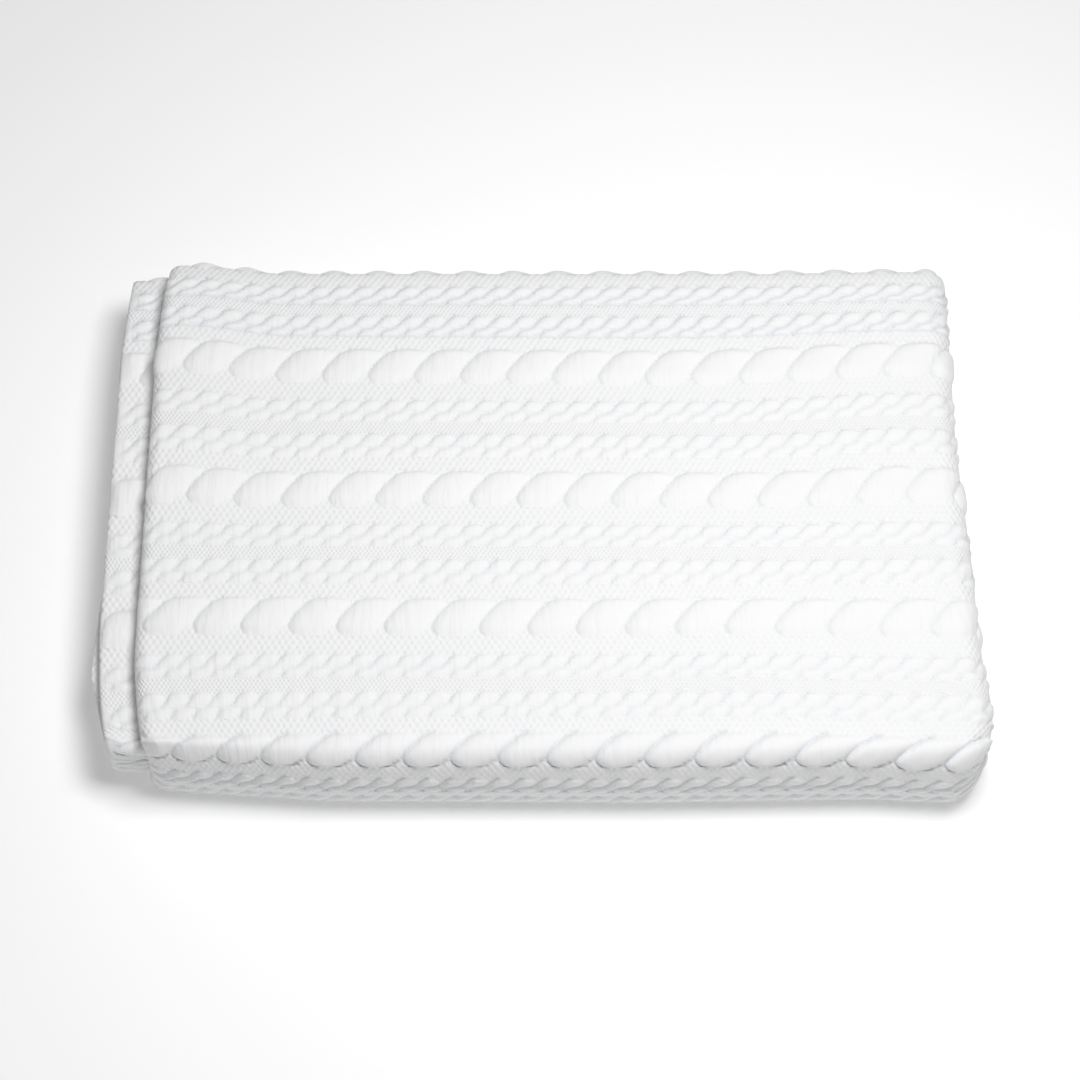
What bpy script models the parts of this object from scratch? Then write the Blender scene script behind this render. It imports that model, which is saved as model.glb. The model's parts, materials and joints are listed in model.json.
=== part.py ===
"""A cable-knit blanket, folded into a flat stack. Metres, +Z up, front at -Y.

The cloth is one slab. It is cut along a grid while it lies flat, and then each of its points is folded: in
half along its length (the fold that ends at the back), in half across (the left fold), in half across again
(the right fold), and in half over the front. That makes sixteen layers, a little apart. Last, the stack
settles: its edges and corners go where they lie on the real one.

Flat places are (u, v, w): u across from the left fold, v along from the back fold, w deep from the patterned
face.
"""

import bmesh
import bpy
import numpy as np
from mathutils import Vector

# The folded stack
STACK_HEIGHT = 0.0495
LAYERS = 16
CLOTH = 0.0026
GAP = (STACK_HEIGHT - LAYERS * CLOTH) / (LAYERS - 1)
LEFT_TIP = -0.1820
RIGHT_TIP = 0.1955
BACK_TIP = 0.1315
FRONT_TIP = -0.1325
FREE_EDGE = -0.2000
HEM_AT = 0.1270

# The knit: rows run across, the first 46 mm in front of the back fold
ROW_PITCH = 0.0670
FIRST_ROW = BACK_TIP - 0.0854
BANDS = (
    # name, depth along the cloth, points from edge to edge
    ("cable", 0.0195, 4),
    ("moss", 0.0089, 2),
    ("braid", 0.0118, 3),
    ("moss", 0.0065, 2),
    ("braid", 0.0130, 3),
    ("moss", 0.0073, 2),
)
ROW_HOOKS = (
    # row, place of the leaf hook nearest the middle, leaf pitch
    (-1.0, 0.0009, 0.0220),
    (0.0, 0.0059, 0.0221),
    (1.0, 0.0110, 0.0222),
    (2.0, 0.0158, 0.0224),
    (3.0, 0.0239, 0.0222),
    (4.0, 0.0290, 0.0222),
)
LEAF_CREASE = (
    # height in the cable from its near edge, crease's place in leaf pitches
    (0.00, 0.06),
    (0.21, 0.00),
    (0.55, 0.16),
    (0.81, 0.33),
    (0.96, 0.52),
    (1.00, 0.68),
)
MOSS_RISE = 0.0005
LEAF_RISES = (-0.0003, 0.0009, 0.0014, 0.0015)
LEAF_EDGE_RISES = (0.0001, 0.0005, 0.0006, 0.0006)
STRAND_RISES = (-0.0002, 0.0011)
STRAND_EDGE_RISES = (0.0001, 0.0006)
BRAID_SLANT = 1.30
STRANDS_TO_LEAF = 2
BAND_EDGE = 0.01
TINY = 1e-6

# How the stack has settled: edges as seen from above, front to back
UPPER_LEFT = (
    # y, x of the upper flap's left fold
    (-0.1325, -0.1720),
    (-0.1200, -0.1759),
    (-0.1060, -0.1787),
    (-0.0920, -0.1803),
    (-0.0800, -0.1820),
    (0.0800, -0.1824),
    (0.1150, -0.1808),
    (0.1315, -0.1786),
)
LOWER_LEFT = (
    # y, x of the lower flap's free edge
    (-0.1300, -0.1880),
    (-0.1155, -0.1935),
    (-0.0930, -0.1975),
    (-0.0600, -0.2000),
    (0.0900, -0.2003),
    (0.1070, -0.1991),
    (0.1315, -0.1974),
)
LOWEST_LEFT = (
    # y, x of the free edge under the lower flap's
    (-0.1300, -0.1860),
    (-0.1155, -0.1925),
    (-0.0930, -0.2018),
    (-0.0700, -0.2042),
    (-0.0520, -0.2026),
    (-0.0370, -0.2001),
    (0.0400, -0.1985),
    (0.1315, -0.1955),
)
RIGHT_SIDE = (
    # y, x of the right fold
    (-0.1325, 0.1915),
    (-0.1170, 0.2000),
    (-0.1020, 0.2022),
    (-0.0800, 0.1997),
    (-0.0640, 0.1986),
    (-0.0230, 0.1980),
    (0.0160, 0.1961),
    (0.0420, 0.1951),
    (0.1315, 0.1962),
)
FRONT_SET_BACK = (
    # x, how far the front fold stands back there
    (-0.1750, 0.0075),
    (-0.1610, 0.0056),
    (-0.1300, 0.0032),
    (-0.0940, 0.0007),
    (0.0500, 0.0000),
    (0.1160, 0.0012),
    (0.1480, 0.0017),
    (0.1750, 0.0002),
)
FRONT_STEP = (-0.1180, -0.1325)
EDGE_REACH = 0.100
TABLE_BLUR = (-0.008, -0.004, 0.0, 0.004, 0.008)
BACK_CORNERS = (
    # where the corner starts to rise, x and y, where it has risen, x and y, how far up, how far back
    (-0.120, -0.050, -0.170, 0.040, 0.0028, 0.0032),
    (0.100, 0.000, 0.170, 0.090, 0.0016, 0.0),
)

# The grid that the flat slab is cut along
KNIT_ROWS = range(-2, 6)
CABLE_ROWS = range(3)
SIDE_BEND_CUTS = 2
FRONT_BEND_CUTS = 3
RIM = 0.0024
RIM_THINNING = 0.45
SIDE_RUN_CUTS = (0.028, 0.065, 0.140)
FINE_COLUMN = 0.00562
CLOSEST_ROWS = 0.0020
EDGE_FADE = 0.009
SPLIT_WAY = Vector((1.0, 0.7, 0.3))

CLOTH_COLOUR = (0.86, 0.87, 0.88, 1.0)
CLOTH_ROUGHNESS = 0.92
SHARP_EDGE = np.radians(50)


class Bend:
    """The U-turn that a stack of layers makes: straight at first, then round. Layers are copies of the
    outer one, drawn in about the middle of the stack."""

    def __init__(self, half, roundness, power):
        turn = np.linspace(0.0, np.pi / 2, 65)
        forward = 1 - roundness + roundness * np.sin(turn) ** (2 / power)
        self.forward = np.concatenate([[0.0], forward])
        self.height = np.concatenate([[1.0], np.cos(turn) ** (2 / power)])
        steps = np.hypot(np.diff(self.forward), np.diff(self.height))
        arc = np.concatenate([[0.0], np.cumsum(steps)])
        self.half = half
        self.share = arc / arc[-1]
        self.arc = arc[-1] * half

    def turn(self, along, depth):
        """Forward of the bend's middle and above the stack's middle, for a place along the outer layer,
        measured from the tip, and a depth in from it."""
        inside = 1 - np.clip(np.abs(along) / self.arc, 0.0, 1.0)
        drawn_in = self.half - depth
        run = np.maximum(np.abs(along) - self.arc, 0.0)
        forward = np.interp(inside, self.share, self.forward) * drawn_in - run
        height = np.interp(inside, self.share, self.height) * drawn_in * np.sign(along)
        return forward, height


HALF_BACK = CLOTH + GAP / 2
HALF_LEFT = 2 * HALF_BACK + GAP / 2
HALF_RIGHT = 2 * HALF_LEFT + GAP / 2
HALF_FRONT = 2 * HALF_RIGHT + GAP / 2
BACK_BEND = Bend(HALF_BACK, roundness=1.0, power=2.0)
LEFT_BEND = Bend(HALF_LEFT, roundness=1.0, power=2.0)
RIGHT_BEND = Bend(HALF_RIGHT, roundness=0.9, power=2.1)
FRONT_BEND = Bend(HALF_FRONT, roundness=0.4, power=2.2)

# Middles of the bends, and the flat distances between the fold lines and to the edges
LEFT_MIDDLE = LEFT_TIP + HALF_LEFT
RIGHT_MIDDLE = RIGHT_TIP - HALF_RIGHT
BACK_MIDDLE = BACK_TIP - HALF_BACK
FRONT_MIDDLE = FRONT_TIP + HALF_FRONT
LEFT_TO_RIGHT = RIGHT_MIDDLE - LEFT_MIDDLE + LEFT_BEND.arc + RIGHT_BEND.arc
BACK_TO_FRONT = BACK_MIDDLE - FRONT_MIDDLE + BACK_BEND.arc + FRONT_BEND.arc
HALF_WIDTH = LEFT_TO_RIGHT + RIGHT_BEND.arc + RIGHT_MIDDLE - FREE_EDGE
HALF_LENGTH = BACK_TO_FRONT + FRONT_BEND.arc + HEM_AT - FRONT_MIDDLE


def smooth(share):
    """0 below 0, 1 above 1, and an even S between."""
    share = np.clip(share, 0.0, 1.0)
    return share * share * (3 - 2 * share)


def read(table, at):
    """The table's second column where its first is `at`, with its corners rounded off."""
    columns = np.array(table)
    return sum(np.interp(at + shift, columns[:, 0], columns[:, 1]) for shift in TABLE_BLUR) / len(TABLE_BLUR)


def between(start, end, at):
    """0 up to the start, 1 from the end on, and an even S between."""
    return smooth((at - start) / (end - start))


def fold(u, v, w):
    """Where a point of the flat slab lies in the evenly folded stack."""
    forward, height = BACK_BEND.turn(v, w)
    from_back = BACK_BEND.arc - forward
    depth = HALF_BACK - height
    forward, height = LEFT_BEND.turn(u, depth)
    from_left = LEFT_BEND.arc - forward
    depth = HALF_LEFT - height
    forward, height = RIGHT_BEND.turn(LEFT_TO_RIGHT - from_left, depth)
    x = RIGHT_MIDDLE + forward
    depth = HALF_RIGHT - height
    forward, height = FRONT_BEND.turn(BACK_TO_FRONT - from_back, depth)
    return x, FRONT_MIDDLE - forward, HALF_FRONT + height


def settle(x, y, z, u):
    """Moves points of the even stack to where they lie on the real one. The underside stays level."""
    at_fold = smooth(1 - np.abs(u) / EDGE_REACH)
    at_edge = smooth(1 - (HALF_WIDTH - np.abs(u)) / EDGE_REACH)
    at_right = smooth((x - RIGHT_TIP) / EDGE_REACH + 1)
    free_edge = np.where(u < 0, read(LOWER_LEFT, y), read(LOWEST_LEFT, y))
    x = (
        x
        + at_fold * (read(UPPER_LEFT, y) - LEFT_TIP)
        + at_edge * (free_edge - FREE_EDGE)
        + at_right * (read(RIGHT_SIDE, y) - RIGHT_TIP)
    )
    y = y + read(FRONT_SET_BACK, x) * between(*FRONT_STEP, y)
    for start_x, start_y, end_x, end_y, up, back in BACK_CORNERS:
        share = between(start_x, end_x, x) * between(start_y, end_y, y)
        y = y + back * share
        z = z + up * share * z / STACK_HEIGHT
    return x, y, z


def hooks_at(row):
    """The hook's place and the leaf pitch at a place along the rows."""
    table = np.array(ROW_HOOKS)
    return np.interp(row, table[:, 0], table[:, 1]), np.interp(row, table[:, 0], table[:, 2])


def knit(u, v):
    """A point of the patterned face, slid onto the nearest quarter of its leaf or half of its strand, and how
    far it is raised."""
    if u < LEFT_BEND.arc + CLOSEST_ROWS:
        return u, MOSS_RISE
    row = (v - FIRST_ROW) / ROW_PITCH
    start = (row - np.floor(row + TINY)) * ROW_PITCH
    for name, depth, _ in BANDS:
        if start <= depth + TINY:
            break
        start -= depth
    if name == "moss":
        return u, MOSS_RISE
    height = 1 - start / depth
    hook, pitch = hooks_at(row)
    on_edge = min(height, 1 - height) < BAND_EDGE
    if name == "cable":
        crease = np.interp(height, *np.array(LEAF_CREASE).T)
        rises = LEAF_EDGE_RISES if on_edge else LEAF_RISES
    else:
        pitch = pitch / STRANDS_TO_LEAF
        crease = BRAID_SLANT * height
        rises = STRAND_EDGE_RISES if on_edge else STRAND_RISES
    parts = len(rises)
    leaf = (u + LEFT_MIDDLE - LEFT_BEND.arc - hook) / pitch - crease
    part = round(float(leaf) * parts)
    slid = u + (part / parts - leaf) * pitch
    return slid, rises[part % parts]


def mirrored(places):
    """The places and their mirror images about 0, in order."""
    return sorted(set(places) | {-place for place in places})


def cuts_between(first_bend, second_bend, second_cuts, apart, run_cuts, end):
    """Grid lines from one fold line at 0, over the next at `apart`, to the slab's edge at `end`, and their
    mirror images."""
    first = [first_bend.arc * step / SIDE_BEND_CUTS for step in range(SIDE_BEND_CUTS + 1)]
    run = [first_bend.arc + place for place in run_cuts]
    bend = [second_bend.arc * step / second_cuts for step in range(second_cuts + 1)]
    near = first + run + [apart - place for place in bend]
    far = [2 * apart - place for place in near if place > first_bend.arc / 2]
    return mirrored(near + [place for place in far if place < end - 2 * RIM] + [end - RIM])


def cut(sheet, faces, axis, place):
    """Cuts the faces where the axis, 0 across or 1 along, reads `place`."""
    geometry = {item for face in faces for item in (face, *face.edges, *face.verts)}
    point = [0.0, 0.0, 0.0]
    normal = [0.0, 0.0, 0.0]
    point[axis] = place
    normal[axis] = 1.0
    bmesh.ops.bisect_plane(sheet, geom=list(geometry), dist=TINY, plane_co=point, plane_no=normal)


def fine_rows(first, last, rows):
    """The knit's lines along the cloth, the bands' edges and lines inside them, clear of the grid's rows."""
    places = []
    for row in KNIT_ROWS:
        start = FIRST_ROW + row * ROW_PITCH
        for _, depth, points in BANDS:
            places += [start + depth * step / (points - 1) for step in range(points - 1)]
            start += depth
    shown = [place for place in places if first < place < last]
    return [place for place in shown if min(abs(row - place) for row in rows) > CLOSEST_ROWS]


def fine_columns(first, last, columns):
    """Lines that part each stretch between the grid's columns evenly, at least FINE_COLUMN apart."""
    places = []
    columns = [place for place in columns if first - CLOSEST_ROWS < place < last + CLOSEST_ROWS]
    for start, end in zip(columns, columns[1:]):
        count = max(int((end - start) / FINE_COLUMN), 1)
        places += [start + (end - start) * step / count for step in range(1, count)]
    return places


def flat_slab():
    """The slab, cut along its grid. Its patterned face is on top, at height 0, and the part of that face
    which shows once folded is cut finer. Returns it with that part's bounds."""
    sheet = bmesh.new()
    bmesh.ops.create_cube(sheet, size=1.0)
    for vert in sheet.verts:
        vert.co.x *= 2 * HALF_WIDTH
        vert.co.y *= 2 * HALF_LENGTH
        vert.co.z = (vert.co.z - 0.5) * CLOTH
    columns = cuts_between(LEFT_BEND, RIGHT_BEND, SIDE_BEND_CUTS, LEFT_TO_RIGHT, SIDE_RUN_CUTS, HALF_WIDTH)
    row_starts = [FIRST_ROW + row * ROW_PITCH - BACK_BEND.arc for row in CABLE_ROWS]
    rows = cuts_between(BACK_BEND, FRONT_BEND, FRONT_BEND_CUTS, BACK_TO_FRONT, row_starts, HALF_LENGTH)
    for axis, places in enumerate((columns, rows)):
        for place in places:
            cut(sheet, list(sheet.faces), axis, place)
    shown = (0.0, LEFT_TO_RIGHT, 0.0, BACK_TO_FRONT + FRONT_BEND.arc / FRONT_BEND_CUTS)
    fine = (fine_columns(*shown[:2], columns), fine_rows(*shown[2:], rows))
    for axis, places in enumerate(fine):
        for place in places:
            cut(sheet, shown_faces(sheet, shown), axis, place)
    return sheet, shown


def shown_faces(sheet, shown):
    """The faces of the patterned side within the bounds."""
    found = []
    for face in sheet.faces:
        middle = face.calc_center_median()
        across = shown[0] < middle.x < shown[1]
        if across and shown[2] < middle.y < shown[3] and middle.z > -TINY:
            found.append(face)
    return found


def split_quads(sheet):
    """Splits each quad from its left front corner to its right back one, so that facing layers match."""
    for face in [face for face in sheet.faces if len(face.verts) == 4]:
        order = sorted(face.verts, key=lambda vert: vert.co.dot(SPLIT_WAY))
        low, high = order[0], order[-1]
        if not any(low in edge.verts and high in edge.verts for edge in face.edges):
            bmesh.utils.face_split(face, low, high)
    bmesh.ops.triangulate(sheet, faces=list(sheet.faces))


def folded_blanket():
    """The mesh of the folded and settled cloth, with the middle of its footprint at the origin."""
    sheet, shown = flat_slab()
    sheet.verts.ensure_lookup_table()
    flat = np.array([vert.co for vert in sheet.verts], dtype=float)
    u, v, w = flat[:, 0], flat[:, 1], -flat[:, 2]
    rim = np.minimum(HALF_WIDTH - np.abs(u), HALF_LENGTH - np.abs(v))
    w = CLOTH / 2 + (w - CLOTH / 2) * np.where(rim < RIM / 2, RIM_THINNING, 1.0)
    to_edge = np.minimum.reduce([u - shown[0], shown[1] - u, v - shown[2], shown[3] - v])
    for index in np.flatnonzero((to_edge > TINY) & (w < TINY)):
        u[index], raised = knit(u[index], v[index])
        w[index] = -raised * smooth(to_edge[index] / EDGE_FADE)
    x, y, z = settle(*fold(u, v, w), u)
    middle_x = (x.max() + x.min()) / 2
    middle_y = (y.max() + y.min()) / 2
    for vert, place in zip(sheet.verts, zip(x - middle_x, y - middle_y, z)):
        vert.co = place
    split_quads(sheet)
    bmesh.ops.recalc_face_normals(sheet, faces=list(sheet.faces))
    mesh = bpy.data.meshes.new("blanket_cloth")
    sheet.to_mesh(mesh)
    sheet.free()
    return mesh


def cloth_material():
    material = bpy.data.materials.new("white_knit")
    material.use_nodes = True
    shader = material.node_tree.nodes["Principled BSDF"]
    shader.inputs["Base Color"].default_value = CLOTH_COLOUR
    shader.inputs["Roughness"].default_value = CLOTH_ROUGHNESS
    return material


def main():
    for thing in list(bpy.data.objects):
        bpy.data.objects.remove(thing, do_unlink=True)
    collection = bpy.data.collections.new("folded_blanket")
    bpy.context.scene.collection.children.link(collection)
    mesh = folded_blanket()
    mesh.materials.append(cloth_material())
    mesh.shade_smooth()
    mesh.set_sharp_from_angle(angle=SHARP_EDGE)
    collection.objects.link(bpy.data.objects.new("blanket_cloth", mesh))


main()
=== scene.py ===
"""A white cable-knit blanket, folded into a flat stack. Metres, +Z up, front at -Y.

The cloth is one closed slab. It is laid out flat, cut finely where it shows, and its knit is raised
point by point. Then each point is folded: in half along its length (the back fold), in half across
(the left fold), in half across again (the right fold) and in half over the front. Last, the stack settles.

Flat places are (u, v, w): u across from the left fold, v along from the back fold and w deep from the
patterned face.
"""

import json

import bmesh
import bpy
import numpy as np
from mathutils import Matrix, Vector

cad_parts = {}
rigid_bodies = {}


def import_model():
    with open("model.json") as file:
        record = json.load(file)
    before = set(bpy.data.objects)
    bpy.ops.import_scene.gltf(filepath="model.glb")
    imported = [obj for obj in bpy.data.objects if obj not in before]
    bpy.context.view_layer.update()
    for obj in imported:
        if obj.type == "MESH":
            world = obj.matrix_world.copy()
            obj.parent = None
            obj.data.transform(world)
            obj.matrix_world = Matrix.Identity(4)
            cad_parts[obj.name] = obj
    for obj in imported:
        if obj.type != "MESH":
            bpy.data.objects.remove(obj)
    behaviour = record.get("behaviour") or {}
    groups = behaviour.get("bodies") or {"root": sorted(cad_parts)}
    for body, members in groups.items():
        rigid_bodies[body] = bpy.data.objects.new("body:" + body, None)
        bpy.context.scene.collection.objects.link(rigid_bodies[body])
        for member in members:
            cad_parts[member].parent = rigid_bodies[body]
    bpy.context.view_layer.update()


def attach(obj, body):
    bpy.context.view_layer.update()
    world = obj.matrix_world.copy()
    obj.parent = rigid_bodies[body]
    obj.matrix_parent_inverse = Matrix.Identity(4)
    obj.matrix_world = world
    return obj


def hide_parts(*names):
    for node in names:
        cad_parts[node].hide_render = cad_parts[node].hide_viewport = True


# The folded stack, as the solid has it
STACK_HEIGHT = 0.0495
LAYERS = 16
CLOTH = 0.0026
GAP = (STACK_HEIGHT - LAYERS * CLOTH) / (LAYERS - 1)
LEFT_TIP = -0.1820
RIGHT_TIP = 0.1955
BACK_TIP = 0.1315
FRONT_TIP = -0.1325
FREE_EDGE = -0.2000
HEM_AT = 0.1270
MIDDLE = (-0.0003, 0.0005)

# The knit: rows run across the cloth. Row 0 starts 46 mm in front of the back fold
ROW_PITCH = 0.0675
FIRST_ROW_Y = 0.0854
FIRST_ROW = BACK_TIP - FIRST_ROW_Y
ROWS = range(-2, 7)
BANDS = (
    # form, depth along the cloth, its hooks' place right of the cable's, distance between its cut lines
    ("cable", 0.0200, 0.0, 0.00125),
    ("moss", 0.0087, 0.0, 0.0020),
    ("braid", 0.0121, -0.0001, 0.00095),
    ("fine_moss", 0.0063, 0.0, 0.0020),
    ("braid", 0.0133, 0.0018, 0.00095),
    ("moss", 0.0071, 0.0, 0.0020),
)
FINE_BAND = 3
ROW_HOOKS = (
    # row, place of the leaf hook nearest the middle, leaf pitch
    (-1.0, 0.0002, 0.0220),
    (0.0, 0.0059, 0.0221),
    (1.0, 0.0110, 0.0222),
    (2.0, 0.0158, 0.0224),
    (3.0, 0.0239, 0.0222),
    (4.0, 0.0290, 0.0222),
)
LEAF_SHIFTS = (
    # place across, how far right of even spacing the leaves of rows 0 to 3 lie there
    (-0.198, 0.0026, 0.0037, 0.0036, -0.0005),
    (-0.180, 0.0026, 0.0037, 0.0078, 0.0050),
    (-0.141, 0.0019, 0.0028, 0.0060, 0.0050),
    (-0.087, 0.0009, 0.0019, 0.0037, 0.0055),
    (-0.032, 0.0000, 0.0005, 0.0014, 0.0023),
    (0.023, -0.0009, -0.0009, -0.0005, 0.0000),
    (0.078, -0.0014, -0.0009, -0.0005, -0.0009),
    (0.132, 0.0005, 0.0005, 0.0000, -0.0005),
    (0.180, 0.0012, 0.0012, 0.0000, 0.0000),
)
ROW_BENDS = (
    # place across, how far the cables of rows 0 to 3 lie out of line there
    (-0.1900, -0.0022, 0.0005, -0.0014, 0.0036),
    (-0.1500, -0.0020, 0.0010, -0.0014, 0.0020),
    (-0.1350, -0.0012, 0.0008, -0.0013, 0.0016),
    (-0.1180, -0.0008, 0.0004, -0.0012, 0.0012),
    (-0.0950, -0.0004, 0.0000, -0.0008, 0.0006),
    (-0.0300, 0.0000, 0.0000, 0.0000, 0.0000),
    (0.0450, 0.0008, 0.0004, 0.0000, 0.0000),
    (0.0900, 0.0001, 0.0009, -0.0004, 0.0000),
    (0.1200, -0.0016, 0.0002, 0.0000, 0.0008),
    (0.1450, -0.0030, -0.0016, 0.0004, 0.0020),
    (0.1700, -0.0038, -0.0026, 0.0004, 0.0030),
    (0.1850, -0.0034, -0.0018, 0.0004, 0.0035),
)
# The two tables above have columns for rows 0 to this one
LAST_ROW = 3
SLIPS = (
    # place along, in rows, how far nearer to the front than even spacing the pattern lies there
    (-0.80, 0.0050),
    (-0.55, 0.0042),
    (-0.35, 0.0029),
    (0.00, 0.0015),
    (2.00, 0.0014),
    (2.90, 0.0012),
    (3.00, 0.0010),
    (3.30, -0.0013),
    (4.00, -0.0008),
)
LEAF_CREASE = (
    # height in the cable from its near edge, crease's place in leaf pitches
    (0.00, 0.16),
    (0.05, 0.13),
    (0.12, 0.07),
    (0.20, 0.02),
    (0.28, 0.00),
    (0.45, 0.08),
    (0.60, 0.17),
    (0.79, 0.32),
    (0.90, 0.42),
    (0.96, 0.52),
    (1.00, 0.62),
)
LEAF_END = (
    # height in the cable, where the leaf ends, as a share of the way from its crease to the next
    (0.00, 0.52),
    (0.06, 0.63),
    (0.14, 0.78),
    (0.21, 0.895),
    (0.28, 1.00),
    (0.83, 1.00),
    (0.92, 0.84),
    (1.00, 0.60),
)
STRAND_CREASE = (
    # height in the braid, crease's place in strand pitches
    (0.00, -0.22),
    (0.18, -0.12),
    (0.36, 0.00),
    (0.41, 0.16),
    (0.46, 0.40),
    (0.58, 0.57),
    (0.74, 0.72),
    (0.92, 0.88),
    (1.00, 1.02),
)
STRAND_END = (
    # height in the braid, where the strand ends, as a share of the way from its crease to the next
    (0.00, 0.72),
    (0.15, 0.88),
    (0.30, 1.00),
    (0.74, 1.00),
    (0.86, 0.85),
    (0.94, 0.65),
    (1.00, 0.48),
)
FORMS = {
    # crease, end, strands to a leaf pitch, rise, widths of the left, right, near and far slopes,
    # crease's depth
    "cable": (LEAF_CREASE, LEAF_END, 1, 0.0017, (0.0055, 0.0085, 0.0060, 0.0025), 0.0005),
    "braid": (STRAND_CREASE, STRAND_END, 2, 0.0009, (0.0028, 0.0040, 0.0030, 0.0012), 0.00045),
}
NO_BAND = ("moss", 1.0, 0.0, 1.0)
CROWDING = 0.62
SPARE_LEAVES = 3
# Rows on a bend of the cloth, whose leaves and strands have a steep near edge and deeper creases, with more
# painted shade along their creases and near edges
EDGED_ROWS = (-1, 3)
EDGED_MORE = 1.5
# Places along, in rows, of the straight pattern, the bends of rows 0 to 3 and the straight pattern
BEND_ROWS = (-0.69, 0.15, 1.15, 2.15, 3.15, 4.0)
CREASE_WIDTH = 0.0006
CREASE_FADE = 0.08
CREASE_POINTS = 160
ROUND_EDGE = 0.0018
MOSS_EDGE = 0.0007
EDGE_WIDTH = 0.0010
EDGE_TOP = 0.30
STITCHES = {
    # width and height of a stitch
    "moss": (0.00313, 0.0026),
    "fine_moss": (0.0020, 0.00155),
}

# How the stack has settled: edges as seen from above, front to back
UPPER_LEFT = (
    # y, x of the upper flap's left fold
    (-0.1325, -0.1720),
    (-0.1200, -0.1759),
    (-0.1060, -0.1787),
    (-0.0920, -0.1803),
    (-0.0800, -0.1820),
    (0.0800, -0.1824),
    (0.1150, -0.1808),
    (0.1315, -0.1786),
)
LOWER_LEFT = (
    # y, x of the lower flap's free edge
    (-0.1300, -0.1880),
    (-0.1155, -0.1935),
    (-0.0930, -0.1975),
    (-0.0600, -0.2000),
    (0.0900, -0.2003),
    (0.1070, -0.1991),
    (0.1315, -0.1974),
)
LOWEST_LEFT = (
    # y, x of the free edge under the lower flap's
    (-0.1300, -0.1860),
    (-0.1155, -0.1925),
    (-0.0930, -0.2018),
    (-0.0700, -0.2042),
    (-0.0520, -0.2026),
    (-0.0370, -0.2001),
    (0.0400, -0.1985),
    (0.1315, -0.1955),
)
RIGHT_SIDE = (
    # y, x of the right fold
    (-0.1325, 0.1915),
    (-0.1170, 0.2000),
    (-0.1020, 0.2022),
    (-0.0800, 0.1997),
    (-0.0640, 0.1986),
    (-0.0230, 0.1980),
    (0.0160, 0.1961),
    (0.0420, 0.1951),
    (0.1315, 0.1962),
)
FRONT_SET_BACK = (
    # x, how far the front fold stands back there
    (-0.1750, 0.0075),
    (-0.1610, 0.0056),
    (-0.1300, 0.0032),
    (-0.0940, 0.0007),
    (0.0500, 0.0000),
    (0.1160, 0.0012),
    (0.1480, 0.0017),
    (0.1750, 0.0002),
)
FRONT_STEP = (-0.1180, -0.1325)
EDGE_REACH = 0.100
TABLE_BLUR = (-0.008, -0.004, 0.0, 0.004, 0.008)
BACK_CORNERS = (
    # where the corner starts to rise, x and y, where it has risen, x and y, how far up, how far back
    (-0.120, -0.050, -0.170, 0.040, 0.0028, 0.0032),
    (0.100, 0.000, 0.170, 0.090, 0.0016, 0.0),
)
# The layers roll down and back at the back edge, the upper ones the most
ROLL_FROM = 0.1180
ROLL_DROP = 0.0030
ROLL_BACK = 0.0010

# How finely the cloth is cut
FINE = 0.00142
PATCH_FADE = 0.006
BACK_FADE = (0.0035, 0.0110)
COARSE = 0.030
BEND_CUTS = 5
BEND_POINTS = 65
FLAP_STRIP = 0.034
TINY = 1e-9
RIM = (
    # distance in from the edge, thickness there as a share of the cloth's
    (0.0, 0.35),
    (0.0006, 0.70),
    (0.0016, 0.93),
    (0.0030, 1.0),
)
# What each point of the flat cloth carries
VALUES = ("across", "along", "depth", "moss", "crease", "fine_moss")

# The yarn's colour, its painted shade colour, and how far painted shade in the creases and in the hollows
# between stitches, and broad clouds of random tone, tint it
YARN = (0.93, 0.93, 0.93, 1.0)
SHADED_YARN = (0.66, 0.70, 0.76, 1.0)
PAINTED_CREASE_SHADE = 0.42
PAINTED_HOLLOW_SHADE = 0.10
CLOUD_TINT = 0.10
CLOUD_SCALE = 22.0

# The yarn's bump: how high its parts are, how fine they are and how far the stitches sway
STITCH_RISE = 0.5
PUCKER_RISE = 2.4
FIBRE_RISE = 0.25
PUCKER_SCALES = (260.0, 55.0, 1.0)
FIBRE_SCALE = 900.0
FIBRE_DETAIL = 3.0
SWAY_SCALE = 160.0
SWAY = (0.0016, 0.0011, 0.0)
BUMP_STRENGTH = 0.65
BUMP_DEPTH = 0.0005

# The floor and the light
FLOOR_SIZE = 6.0
FLOOR_COLOUR = (0.98, 0.98, 0.98, 1.0)
FLOOR_GLOW = 0.15
WHITE = (1.0, 1.0, 1.0, 1.0)
LIGHT_PLACE = (0.17, -0.07, 0.88)
LIGHT_SIZE = 0.35
LIGHT_POWER = 5.9
SURROUND_STRENGTH = 0.25

# The camera looks from the front, this many degrees above the level. It is this far in front of row 0
# and this far above the top.
CAMERA_ELEVATION = 60.0
CAMERA_AWAY = 0.78256
CAMERA_ABOVE = 1.17435
TOP_HEIGHT = 0.050
CAMERA_PLACE = (-MIDDLE[0], FIRST_ROW_Y - CAMERA_AWAY - MIDDLE[1], TOP_HEIGHT + CAMERA_ABOVE)
LENS = 99.03


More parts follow.
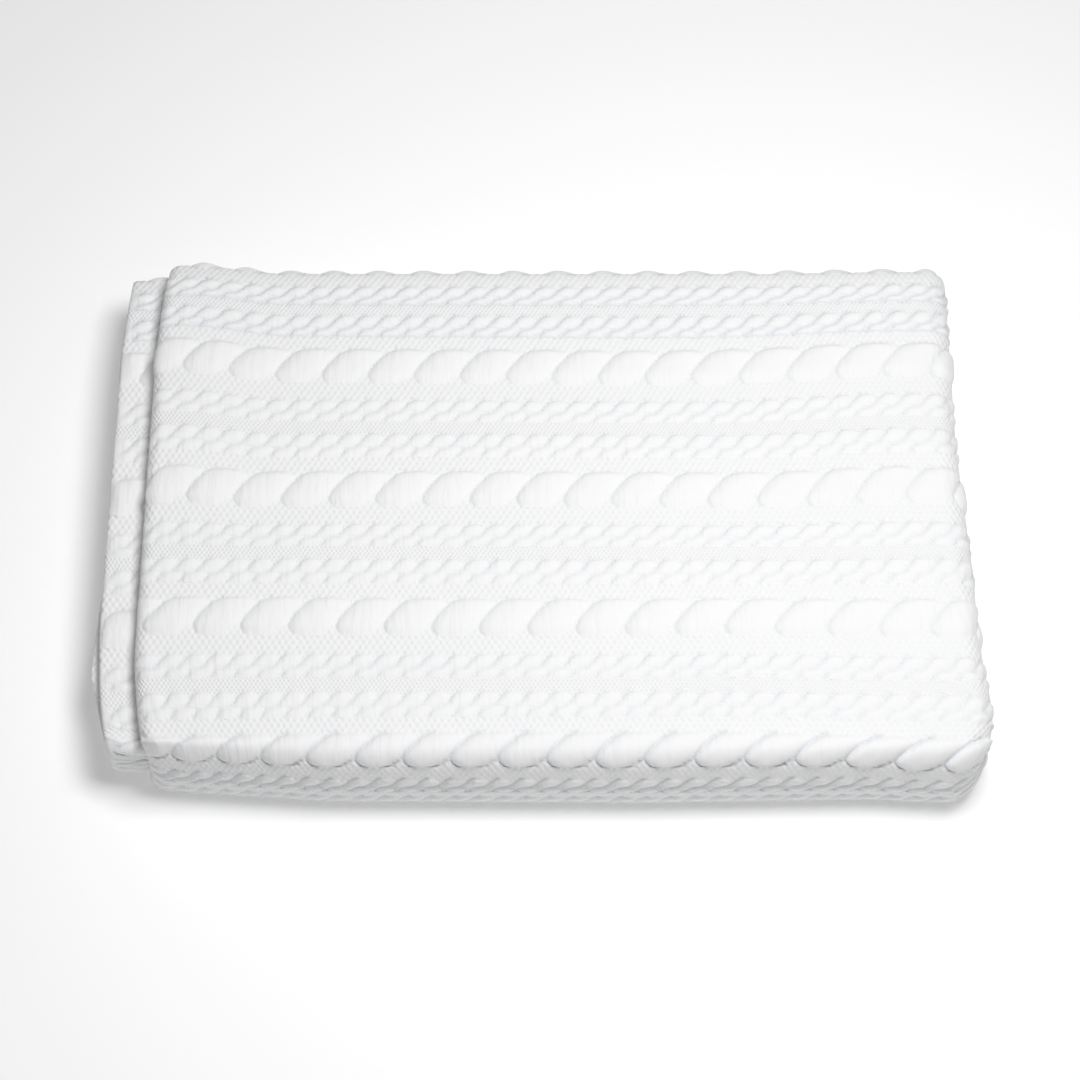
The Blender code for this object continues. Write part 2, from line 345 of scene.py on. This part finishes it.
class Bend:
    """The U-turn that a stack of layers makes: straight at first, then round. Layers are copies of the
    outer one, drawn in about the middle of the stack."""

    def __init__(self, half, roundness, power):
        turn = np.linspace(0.0, np.pi / 2, BEND_POINTS)
        forward = 1 - roundness + roundness * np.sin(turn) ** (2 / power)
        self.forward = np.concatenate([[0.0], forward])
        self.height = np.concatenate([[1.0], np.cos(turn) ** (2 / power)])
        steps = np.hypot(np.diff(self.forward), np.diff(self.height))
        arc = np.concatenate([[0.0], np.cumsum(steps)])
        self.half = half
        self.share = arc / arc[-1]
        self.arc = arc[-1] * half

    def turn(self, along, depth):
        """Forward of the bend's middle and above the stack's middle, for a place along the outer layer,
        measured from the tip, and a depth in from it."""
        inside = 1 - np.clip(np.abs(along) / self.arc, 0.0, 1.0)
        drawn_in = self.half - depth
        run = np.maximum(np.abs(along) - self.arc, 0.0)
        forward = np.interp(inside, self.share, self.forward) * drawn_in - run
        height = np.interp(inside, self.share, self.height) * drawn_in * np.sign(along)
        return forward, height


HALF_BACK = CLOTH + GAP / 2
HALF_LEFT = 2 * HALF_BACK + GAP / 2
HALF_RIGHT = 2 * HALF_LEFT + GAP / 2
HALF_FRONT = 2 * HALF_RIGHT + GAP / 2
BACK_BEND = Bend(HALF_BACK, roundness=1.0, power=2.0)
LEFT_BEND = Bend(HALF_LEFT, roundness=1.0, power=2.0)
RIGHT_BEND = Bend(HALF_RIGHT, roundness=0.9, power=2.1)
FRONT_BEND = Bend(HALF_FRONT, roundness=0.4, power=2.2)

# Middles of the bends, and the flat distances between the fold lines and to the edges
LEFT_MIDDLE = LEFT_TIP + HALF_LEFT
RIGHT_MIDDLE = RIGHT_TIP - HALF_RIGHT
BACK_MIDDLE = BACK_TIP - HALF_BACK
FRONT_MIDDLE = FRONT_TIP + HALF_FRONT
LEFT_TO_RIGHT = RIGHT_MIDDLE - LEFT_MIDDLE + LEFT_BEND.arc + RIGHT_BEND.arc
BACK_TO_FRONT = BACK_MIDDLE - FRONT_MIDDLE + BACK_BEND.arc + FRONT_BEND.arc
HALF_WIDTH = LEFT_TO_RIGHT + RIGHT_BEND.arc + RIGHT_MIDDLE - FREE_EDGE
HALF_LENGTH = BACK_TO_FRONT + FRONT_BEND.arc + HEM_AT - FRONT_MIDDLE


def smooth(share):
    """0 below 0, 1 above 1, and an even S between."""
    share = np.clip(share, 0.0, 1.0)
    return share * share * (3 - 2 * share)


def rounded(share):
    """A quarter circle from 0 at 0 up to 1 at 1."""
    return np.sqrt(1 - (1 - np.clip(share, 0.0, 1.0)) ** 2)


def look_up(table, at):
    """The table's second column where its first is `at`."""
    columns = np.array(table)
    return np.interp(at, columns[:, 0], columns[:, 1])


def read(table, at):
    """As look_up, with the table's corners rounded off."""
    return sum(look_up(table, at + shift) for shift in TABLE_BLUR) / len(TABLE_BLUR)


def between(start, end, at):
    """0 up to the start, 1 from the end on, and an even S between."""
    return smooth((at - start) / (end - start))


def fold(u, v, w):
    """Where a point of the flat slab lies in the evenly folded stack."""
    forward, height = BACK_BEND.turn(v, w)
    from_back = BACK_BEND.arc - forward
    depth = HALF_BACK - height
    forward, height = LEFT_BEND.turn(u, depth)
    from_left = LEFT_BEND.arc - forward
    depth = HALF_LEFT - height
    forward, height = RIGHT_BEND.turn(LEFT_TO_RIGHT - from_left, depth)
    x = RIGHT_MIDDLE + forward
    depth = HALF_RIGHT - height
    forward, height = FRONT_BEND.turn(BACK_TO_FRONT - from_back, depth)
    return x, FRONT_MIDDLE - forward, HALF_FRONT + height


def settle(x, y, z, u):
    """Moves points of the even stack to where they lie on the real one. The underside stays level."""
    at_fold = smooth(1 - np.abs(u) / EDGE_REACH)
    at_edge = smooth(1 - (HALF_WIDTH - np.abs(u)) / EDGE_REACH)
    at_right = smooth((x - RIGHT_TIP) / EDGE_REACH + 1)
    free_edge = np.where(u < 0, read(LOWER_LEFT, y), read(LOWEST_LEFT, y))
    x = (
        x
        + at_fold * (read(UPPER_LEFT, y) - LEFT_TIP)
        + at_edge * (free_edge - FREE_EDGE)
        + at_right * (read(RIGHT_SIDE, y) - RIGHT_TIP)
    )
    y = y + read(FRONT_SET_BACK, x) * between(*FRONT_STEP, y)
    for start_x, start_y, end_x, end_y, up, back in BACK_CORNERS:
        share = between(start_x, end_x, x) * between(start_y, end_y, y)
        y = y + back * share
        z = z + up * share * z / STACK_HEIGHT
    roll = np.clip((y - ROLL_FROM) / (BACK_TIP - ROLL_FROM), 0.0, 1.0) ** 2 * z / STACK_HEIGHT
    return x, y + ROLL_BACK * roll, np.maximum(z - ROLL_DROP * roll, 0.0)


def crowded(share):
    """An even share from 0 to 1, moved so that its steps are shorter near both ends."""
    return share - CROWDING * np.sin(2 * np.pi * share) / (2 * np.pi)


def knit_rows(first, last):
    """The lines along the cloth: place, row, band and height within the band, 1 at its far edge."""
    lines = [(first, 0, NO_BAND, 1.0)]
    for row in ROWS:
        start = FIRST_ROW + row * ROW_PITCH
        for band in BANDS:
            steps = round(band[1] / band[3])
            for step in range(steps):
                share = crowded(step / steps) if band[0] in FORMS else step / steps
                place = start + band[1] * share
                if first + FINE / 2 < place < last - FINE / 2:
                    lines.append((place, row, band, 1 - share))
            start += band[1]
    return lines + [(last, 0, NO_BAND, 1.0)]


def crease_distance(table, pitch, depth, across, height):
    """Distance of places in a band from the crease whose hook is at 0 across."""
    heights = np.linspace(0.0, 1.0, CREASE_POINTS)
    apart = across[:, None] - look_up(table, heights) * pitch
    return np.hypot(apart, (height - heights) * depth).min(axis=1)


def dome(distance, width):
    """From 0 at no distance up to 1 at the width, steepest at 0."""
    return np.sin(np.pi / 2 * np.clip(distance / width, 0.0, 1.0))


def relief(form, row, depth, height, across, leaf, pitch):
    """How far places in a cable or braid are raised, how much of each is moss and how much is crease, which
    the material paints as shade.
    Each leaf is a dome between its own crease and the next one's."""
    crease_table, end_table, _, rise, (left, right, near, far), crease_depth = FORMS[form]
    crease = look_up(crease_table, height) * pitch
    share = look_up(end_table, height)
    to_left = crease_distance(crease_table, pitch, depth, across - leaf * pitch, height)
    to_right = crease_distance(crease_table, pitch, depth, across - (leaf + 1) * pitch, height)
    to_end = (share + leaf) * pitch + crease - across if share < 1 else to_right + MOSS_EDGE
    from_near = height * depth
    from_far = (1 - height) * depth
    body = dome(to_left, left) * dome(np.minimum(to_right, to_end), right) * dome(from_far, far)
    valley = np.exp(-((np.minimum(to_left, to_right) / CREASE_WIDTH) ** 2))
    if row in EDGED_ROWS:
        body = body * rounded(from_near / ROUND_EDGE)
        # A line along the near edge: the relief sinks there and the material paints shade on it
        to_edge = np.minimum(np.abs(to_end), from_near) if height < EDGE_TOP else to_left
        edge = np.exp(-((to_edge / EDGE_WIDTH) ** 2)) * (to_end > -EDGE_WIDTH)
        valley = EDGED_MORE * np.maximum(valley, edge)
    else:
        body = body * dome(from_near, near)
        valley = valley * smooth(height / CREASE_FADE)
    cover = np.clip(np.minimum(to_end, min(from_near, from_far) + MOSS_EDGE / 2) / MOSS_EDGE, 0.0, 1.0)
    return rise * body - crease_depth * valley, 1 - cover, valley


class Patch:
    """A finely cut rectangle of the patterned face. Its columns of points slide to follow the creases."""

    def __init__(self, left, right, near, far, place_of_zero):
        self.columns = np.linspace(left, right, round((right - left) / FINE) + 1)
        self.lines = knit_rows(near, far)
        self.rows = np.array([line[0] for line in self.lines])
        self.offset = place_of_zero

    def slid(self, row, band, height, across):
        """The columns' places once slid to follow the creases, the same measured in the even pattern from the
        hook of leaf 0, each one's leaf and the leaf pitch."""
        table = np.array(ROW_HOOKS)
        hook = np.interp(row, table[:, 0], table[:, 1]) + band[2]
        pitch = np.interp(row, table[:, 0], table[:, 2]) / FORMS[band[0]][2]
        crease = look_up(FORMS[band[0]][0], height)
        first = int((across[0] - hook) / pitch - crease) - SPARE_LEAVES
        last = int((across[-1] - hook) / pitch - crease) + SPARE_LEAVES
        leaves = np.arange(first, last + 1)
        stops = self.shifted(row, hook + (leaves + crease) * pitch)
        stops = np.round((stops - across[0]) / (across[1] - across[0]))
        leaf = np.interp(np.arange(len(across)), stops, leaves)
        whole = np.floor(leaf + TINY)
        from_hook = (whole + crowded(leaf - whole) + crease) * pitch
        return self.shifted(row, hook + from_hook), from_hook, whole, pitch

    def shifted(self, row, places):
        """Where places across the even pattern lie in this row."""
        table = np.array(LEAF_SHIFTS)
        return places + np.interp(places, table[:, 0], table[:, 1 + min(max(row, 0), LAST_ROW)])

    def fine(self, row, place):
        """1 between the two braids, where the moss is finer, and 0 elsewhere."""
        before, fine, after = [band[1] for band in BANDS[FINE_BAND - 1 : FINE_BAND + 2]]
        start = FIRST_ROW + row * ROW_PITCH + sum(band[1] for band in BANDS[:FINE_BAND])
        return float(start - before / 2 < place < start + fine + after / 2)

    def points(self):
        """Across, along, raised, moss, crease and fine moss, each as an array of rows by columns."""
        across = self.columns + self.offset
        bends = np.array(ROW_BENDS)
        shifts = [np.interp(across, bends[:, 0], bends[:, 1 + row]) for row in range(LAST_ROW + 1)]
        shifts = np.stack([0 * across, *shifts, 0 * across])
        from_side = np.minimum(self.columns - self.columns[0], self.columns[-1] - self.columns)
        found = np.zeros((len(VALUES), len(self.rows), len(across)))
        for index, (place, row, band, height) in enumerate(self.lines):
            moved = across
            raised, moss, crease = 0.0, 1.0, 0.0
            if band[0] in FORMS:
                moved, from_hook, leaf, pitch = self.slid(row, band, height, across)
                raised, moss, crease = relief(band[0], row, band[1], height, from_hook, leaf, pitch)
            rows_along = (place - FIRST_ROW) / ROW_PITCH
            at_row = np.interp(rows_along, BEND_ROWS, np.arange(len(BEND_ROWS)))
            low = min(int(at_row), len(BEND_ROWS) - 2)
            bend = shifts[low] + (at_row - low) * (shifts[low + 1] - shifts[low])
            bend = bend + look_up(SLIPS, rows_along)
            from_end = min(place - self.rows[0], self.rows[-1] - place)
            inside = smooth(np.minimum(from_side, from_end) / PATCH_FADE)
            behind = smooth((BACK_FADE[1] + place) / (BACK_FADE[1] - BACK_FADE[0]))
            found[0, index] = self.columns + (moved - across) * inside
            found[1, index] = place + bend * inside
            found[2, index] = inside * behind * raised
            found[3, index] = moss
            # The crease share, which the material paints as shade
            found[4, index] = crease * inside
            found[5, index] = self.fine(row, place)
        return found


def coarse_lines(first_bend, second_bend, apart, end, fine):
    """Grid lines from one side's edge to the other's. Those within a patch are lines of the patch."""
    near = [first_bend.arc * step / BEND_CUTS for step in range(BEND_CUTS + 1)]
    run = apart - first_bend.arc - second_bend.arc
    steps = round(run / COARSE)
    near += [first_bend.arc + run * step / steps for step in range(1, steps)]
    near += [apart - second_bend.arc * step / BEND_CUTS for step in range(BEND_CUTS + 1)]
    far = [2 * apart - place for place in near]
    rim = [end - inset for inset, _ in RIM]
    places = near + [place for place in far if place < end - 2 * RIM[-1][0]] + rim
    places = np.array(sorted(set(places) | {-place for place in places}))
    for lines in fine:
        for index, place in enumerate(places):
            if lines[0] - FINE < place < lines[-1] + FINE:
                places[index] = lines[np.abs(lines - place).argmin()]
    return np.unique(places.round(9))


class Slab:
    """The flat cloth: a coarse grid on both sides, with finely cut patches let into the patterned one."""

    def __init__(self, columns, rows, patches):
        self.columns = columns
        self.rows = rows
        self.ids = np.arange(2 * len(columns) * len(rows)).reshape(2, len(columns), len(rows))
        across, along = np.meshgrid(columns, rows, indexing="ij")
        depth = np.zeros_like(across)
        moss = np.ones_like(across)
        sides = [(across, along, depth + side * CLOTH, moss, 0 * moss, 0 * moss) for side in (0, 1)]
        self.places = np.concatenate([np.array(side).reshape(len(VALUES), -1) for side in sides], axis=1)
        self.covered = np.zeros((len(columns) - 1, len(rows) - 1), bool)
        self.borders = {}
        self.faces = []
        for patch in patches:
            self.let_in(patch)
        self.add_coarse_cells()
        self.add_rim()

    def let_in(self, patch):
        """Adds a patch's points and faces, and keeps the points along its border for the cells around it."""
        points = patch.points()
        first = self.places.shape[1]
        ids = first + np.arange(points[0].size).reshape(points[0].shape)
        points[2] = -points[2]
        self.places = np.concatenate([self.places, points.reshape(len(VALUES), -1)], axis=1)
        corners = np.stack([ids[:-1, :-1], ids[:-1, 1:], ids[1:, 1:], ids[1:, :-1]], axis=-1)
        self.faces += corners.reshape(-1, 4).tolist()
        left, right = [int(np.abs(self.columns - patch.columns[end]).argmin()) for end in (0, -1)]
        near, far = [int(np.abs(self.rows - patch.rows[end]).argmin()) for end in (0, -1)]
        self.covered[left:right, near:far] = True
        at_column = [int(np.abs(patch.columns - place).argmin()) for place in self.columns[left : right + 1]]
        at_row = [int(np.abs(patch.rows - place).argmin()) for place in self.rows[near : far + 1]]
        for line, row in ((near, 0), (far, -1)):
            for step, (start, end) in enumerate(zip(at_column, at_column[1:])):
                self.borders["across", line, left + step] = ids[row, start : end + 1].tolist()
            self.ids[0, left : right + 1, line] = ids[row, at_column]
        for line, column in ((left, 0), (right, -1)):
            for step, (start, end) in enumerate(zip(at_row, at_row[1:])):
                self.borders["along", line, near + step] = ids[start : end + 1, column].tolist()
            self.ids[0, line, near : far + 1] = ids[at_row, column]

    def edge(self, way, line, step):
        """The points of one edge of the patterned side's grid, both ends among them."""
        if (way, line, step) in self.borders:
            return self.borders[way, line, step]
        if way == "across":
            return self.ids[0, step : step + 2, line].tolist()
        return self.ids[0, line, step : step + 2].tolist()

    def add_coarse_cells(self):
        """The coarse faces: all of the plain side's, and the patterned side's around the patches."""
        for column in range(len(self.columns) - 1):
            for row in range(len(self.rows) - 1):
                back = self.ids[1, column : column + 2, row : row + 2]
                self.faces.append([back[0, 0], back[0, 1], back[1, 1], back[1, 0]])
                if self.covered[column, row]:
                    continue
                around = self.edge("across", row, column)[:-1] + self.edge("along", column + 1, row)[:-1]
                around += self.edge("across", row + 1, column)[:0:-1] + self.edge("along", column, row)[:0:-1]
                self.faces.append(around)

    def add_rim(self):
        """The faces along the slab's four edges, between its two sides."""
        for line in (0, len(self.rows) - 1):
            for step in range(len(self.columns) - 1):
                plain = self.ids[1, step : step + 2, line].tolist()
                self.faces.append(self.edge("across", line, step) + plain[::-1])
        for line in (0, len(self.columns) - 1):
            for step in range(len(self.rows) - 1):
                plain = self.ids[1, line, step : step + 2].tolist()
                self.faces.append(self.edge("along", line, step) + plain[::-1])

    def folded(self):
        """Places of all points in the settled stack."""
        u, v, w = self.places[:3]
        in_from_edge = np.minimum(HALF_WIDTH - np.abs(u), HALF_LENGTH - np.abs(v))
        w = CLOTH / 2 + (w - CLOTH / 2) * look_up(RIM, in_from_edge)
        x, y, z = settle(*fold(u, v, w), u)
        return np.stack([x - MIDDLE[0], y - MIDDLE[1], z], axis=1)

    def mesh(self, name):
        """The folded slab as a mesh, with what the material reads kept on its points."""
        used = np.unique(np.concatenate([np.array(face) for face in self.faces]))
        new_ids = np.full(self.places.shape[1], -1)
        new_ids[used] = np.arange(len(used))
        mesh = bpy.data.meshes.new(name)
        mesh.from_pydata(self.folded()[used], [], [new_ids[face].tolist() for face in self.faces])
        for label in ("moss", "crease", "fine_moss"):
            values = self.places[VALUES.index(label), used]
            mesh.attributes.new(label, "FLOAT", "POINT").data.foreach_set("value", values)
        flat = self.places[:3, used].T * (1, 1, 0)
        mesh.attributes.new("cloth_place", "FLOAT_VECTOR", "POINT").data.foreach_set("vector", flat.ravel())
        return mesh


def blanket():
    """The folded cloth as an object."""
    shown_right = LEFT_TO_RIGHT + RIGHT_BEND.arc
    shown_front = BACK_TO_FRONT + FRONT_BEND.arc
    shown_back = -BACK_BEND.arc - BACK_FADE[1]
    top = Patch(0.0, shown_right, shown_back, shown_front, LEFT_MIDDLE - LEFT_BEND.arc)
    strip = Patch(-HALF_WIDTH, FLAP_STRIP - HALF_WIDTH, shown_back, shown_front, HALF_WIDTH + FREE_EDGE)
    fine_columns = [top.columns, strip.columns]
    columns = coarse_lines(LEFT_BEND, RIGHT_BEND, LEFT_TO_RIGHT, HALF_WIDTH, fine_columns)
    rows = coarse_lines(BACK_BEND, FRONT_BEND, BACK_TO_FRONT, HALF_LENGTH, [top.rows])
    slab = Slab(columns, rows, [top, strip])
    mesh = slab.mesh("blanket_knit")
    sheet = bmesh.new()
    sheet.from_mesh(mesh)
    bmesh.ops.recalc_face_normals(sheet, faces=list(sheet.faces))
    sheet.to_mesh(mesh)
    sheet.free()
    mesh.shade_smooth()
    thing = bpy.data.objects.new("blanket_knit", mesh)
    bpy.context.scene.collection.objects.link(thing)
    return thing


class Nodes:
    """Short forms for the few kinds of node that the cloth's material is made of."""

    def __init__(self, material):
        material.use_nodes = True
        self.tree = material.node_tree
        self.shader = self.tree.nodes["Principled BSDF"]

    def put(self, kind, *inputs, **settings):
        """A new node with these settings, its first inputs connected or set."""
        node = self.tree.nodes.new(kind)
        for name, value in settings.items():
            setattr(node, name, value)
        for index, value in enumerate(inputs):
            self.connect(value, node.inputs[index])
        return node

    def connect(self, value, socket):
        """Links another node's output to an input, or sets it to a value."""
        if isinstance(value, bpy.types.NodeSocket):
            self.tree.links.new(value, socket)
        elif value is not None:
            socket.default_value = value

    def maths(self, operation, *inputs):
        """The result of a sum on numbers."""
        return self.put("ShaderNodeMath", *inputs, operation=operation).outputs[0]

    def vector(self, operation, *inputs):
        """The result of a sum on vectors."""
        return self.put("ShaderNodeVectorMath", *inputs, operation=operation).outputs[0]

    def noise(self, place, scale):
        """A node with soft random spots, smaller where the scale is greater."""
        node = self.put("ShaderNodeTexNoise", place)
        node.inputs["Scale"].default_value = scale
        return node

    def read(self, name, output="Fac"):
        """A value that the mesh keeps on its points."""
        return self.put("ShaderNodeAttribute", attribute_name=name).outputs[output]

    def mix(self, share, first, second):
        """A mix of two colours, which are the node's inputs 6 and 7."""
        node = self.put("ShaderNodeMix", data_type="RGBA")
        for index, value in ((0, share), (6, first), (7, second)):
            self.connect(value, node.inputs[index])
        return node.outputs[2]


def staggered_stitches(nodes, place):
    """-1 to 1 over the moss. Every second row of stitches lies half a stitch over. Both sizes are made,
    and each band takes its own."""
    sway = nodes.noise(place, SWAY_SCALE).outputs["Color"]
    swayed = nodes.vector("ADD", place, nodes.vector("MULTIPLY", sway, SWAY))
    flat = nodes.put("ShaderNodeSeparateXYZ", swayed)
    sizes = []
    for width, length in STITCHES.values():
        across = nodes.maths("COSINE", nodes.maths("MULTIPLY", flat.outputs[0], 2 * np.pi / width))
        along = nodes.maths("COSINE", nodes.maths("MULTIPLY", flat.outputs[1], np.pi / length))
        sizes.append(nodes.maths("MULTIPLY", across, along))
    fine = nodes.read("fine_moss")
    plain = nodes.maths("MULTIPLY_ADD", fine, -1.0, 1.0)
    large_stitches = nodes.maths("MULTIPLY", sizes[0], plain)
    fine_stitches = nodes.maths("MULTIPLY", sizes[1], fine)
    return nodes.maths("ADD", large_stitches, fine_stitches)


def knit_material():
    """White yarn: staggered stitches on the moss, faint puckers on the cables, and painted cooler shade in
    the creases and in the hollows between stitches.
    """
    material = bpy.data.materials.new("white_knit")
    nodes = Nodes(material)
    place = nodes.read("cloth_place", "Vector")
    moss = nodes.read("moss")
    stitches = staggered_stitches(nodes, place)
    puckers = nodes.noise(nodes.vector("MULTIPLY", place, PUCKER_SCALES), 1.0)
    fibres = nodes.noise(place, FIBRE_SCALE)
    fibres.inputs["Detail"].default_value = FIBRE_DETAIL
    clouds = nodes.noise(place, CLOUD_SCALE)
    raised = nodes.maths("MULTIPLY", nodes.maths("MULTIPLY", stitches, moss), STITCH_RISE)
    uneven = nodes.maths("SUBTRACT", puckers.outputs[0], 0.5)
    off_moss = nodes.maths("MULTIPLY_ADD", moss, -PUCKER_RISE, PUCKER_RISE)
    puckered = nodes.maths("MULTIPLY", off_moss, uneven)
    fuzz = nodes.maths("MULTIPLY", fibres.outputs[0], FIBRE_RISE)
    height = nodes.maths("ADD", raised, nodes.maths("ADD", puckered, fuzz))
    bump = nodes.put("ShaderNodeBump")
    bump.inputs["Strength"].default_value = BUMP_STRENGTH
    bump.inputs["Distance"].default_value = BUMP_DEPTH
    nodes.connect(height, bump.inputs["Height"])
    # Painted shade in the hollows between the stitches of the moss
    hollow = nodes.maths("MULTIPLY", nodes.maths("MULTIPLY_ADD", stitches, -0.5, 0.5), moss)
    # Painted shade along the creases of the cables and braids
    creases = nodes.maths("MULTIPLY", nodes.read("crease"), PAINTED_CREASE_SHADE)
    shade = nodes.maths("ADD", creases, nodes.maths("MULTIPLY", hollow, PAINTED_HOLLOW_SHADE))
    cloudy = nodes.maths("MULTIPLY_ADD", clouds.outputs[0], CLOUD_TINT, -CLOUD_TINT / 2)
    colour = nodes.mix(nodes.maths("ADD", shade, cloudy), YARN, SHADED_YARN)
    nodes.connect(colour, nodes.shader.inputs["Base Color"])
    nodes.shader.inputs["Roughness"].default_value = 0.95
    nodes.shader.inputs["Specular IOR Level"].default_value = 0.2
    nodes.shader.inputs["Sheen Weight"].default_value = 0.15
    nodes.connect(bump.outputs[0], nodes.shader.inputs["Normal"])
    return material


def floor():
    """A plain pale floor."""
    bpy.ops.mesh.primitive_plane_add(size=FLOOR_SIZE, location=(0.0, 0.0, 0.0))
    plane = bpy.context.object
    plane.name = "floor"
    material = bpy.data.materials.new("pale_floor")
    material.use_nodes = True
    shader = material.node_tree.nodes["Principled BSDF"]
    shader.inputs["Base Color"].default_value = FLOOR_COLOUR
    shader.inputs["Roughness"].default_value = 0.9
    shader.inputs["Emission Color"].default_value = WHITE
    shader.inputs["Emission Strength"].default_value = FLOOR_GLOW
    plane.data.materials.append(material)


def area_light(name, place, aim, size, power):
    """A square soft light, turned to the aim."""
    light = bpy.data.lights.new(name, "AREA")
    light.size = size
    light.energy = power
    thing = bpy.data.objects.new(name, light)
    bpy.context.scene.collection.objects.link(thing)
    thing.location = place
    thing.rotation_euler = (Vector(aim) - Vector(place)).to_track_quat("-Z", "Y").to_euler()


def studio():
    """Soft light from above and a little to the right, and an even white surround."""
    area_light("top_light", LIGHT_PLACE, (0.0, 0.0, 0.0), LIGHT_SIZE, LIGHT_POWER)
    world = bpy.context.scene.world or bpy.data.worlds.new("surround")
    bpy.context.scene.world = world
    world.use_nodes = True
    world.node_tree.nodes["Background"].inputs["Color"].default_value = WHITE
    world.node_tree.nodes["Background"].inputs["Strength"].default_value = SURROUND_STRENGTH
    bpy.context.scene.view_settings.view_transform = "Standard"


def camera():
    """The photograph's view: level, from the front and 60 degrees up."""
    data = bpy.data.cameras.new("camera")
    data.lens = LENS
    thing = bpy.data.objects.new("camera", data)
    bpy.context.scene.collection.objects.link(thing)
    thing.location = CAMERA_PLACE
    thing.rotation_euler = (np.radians(90 - CAMERA_ELEVATION), 0.0, 0.0)
    bpy.context.scene.camera = thing


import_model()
knit = blanket()
knit.data.materials.append(knit_material())
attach(knit, "root")
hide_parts("blanket_cloth")
floor()
studio()
camera()
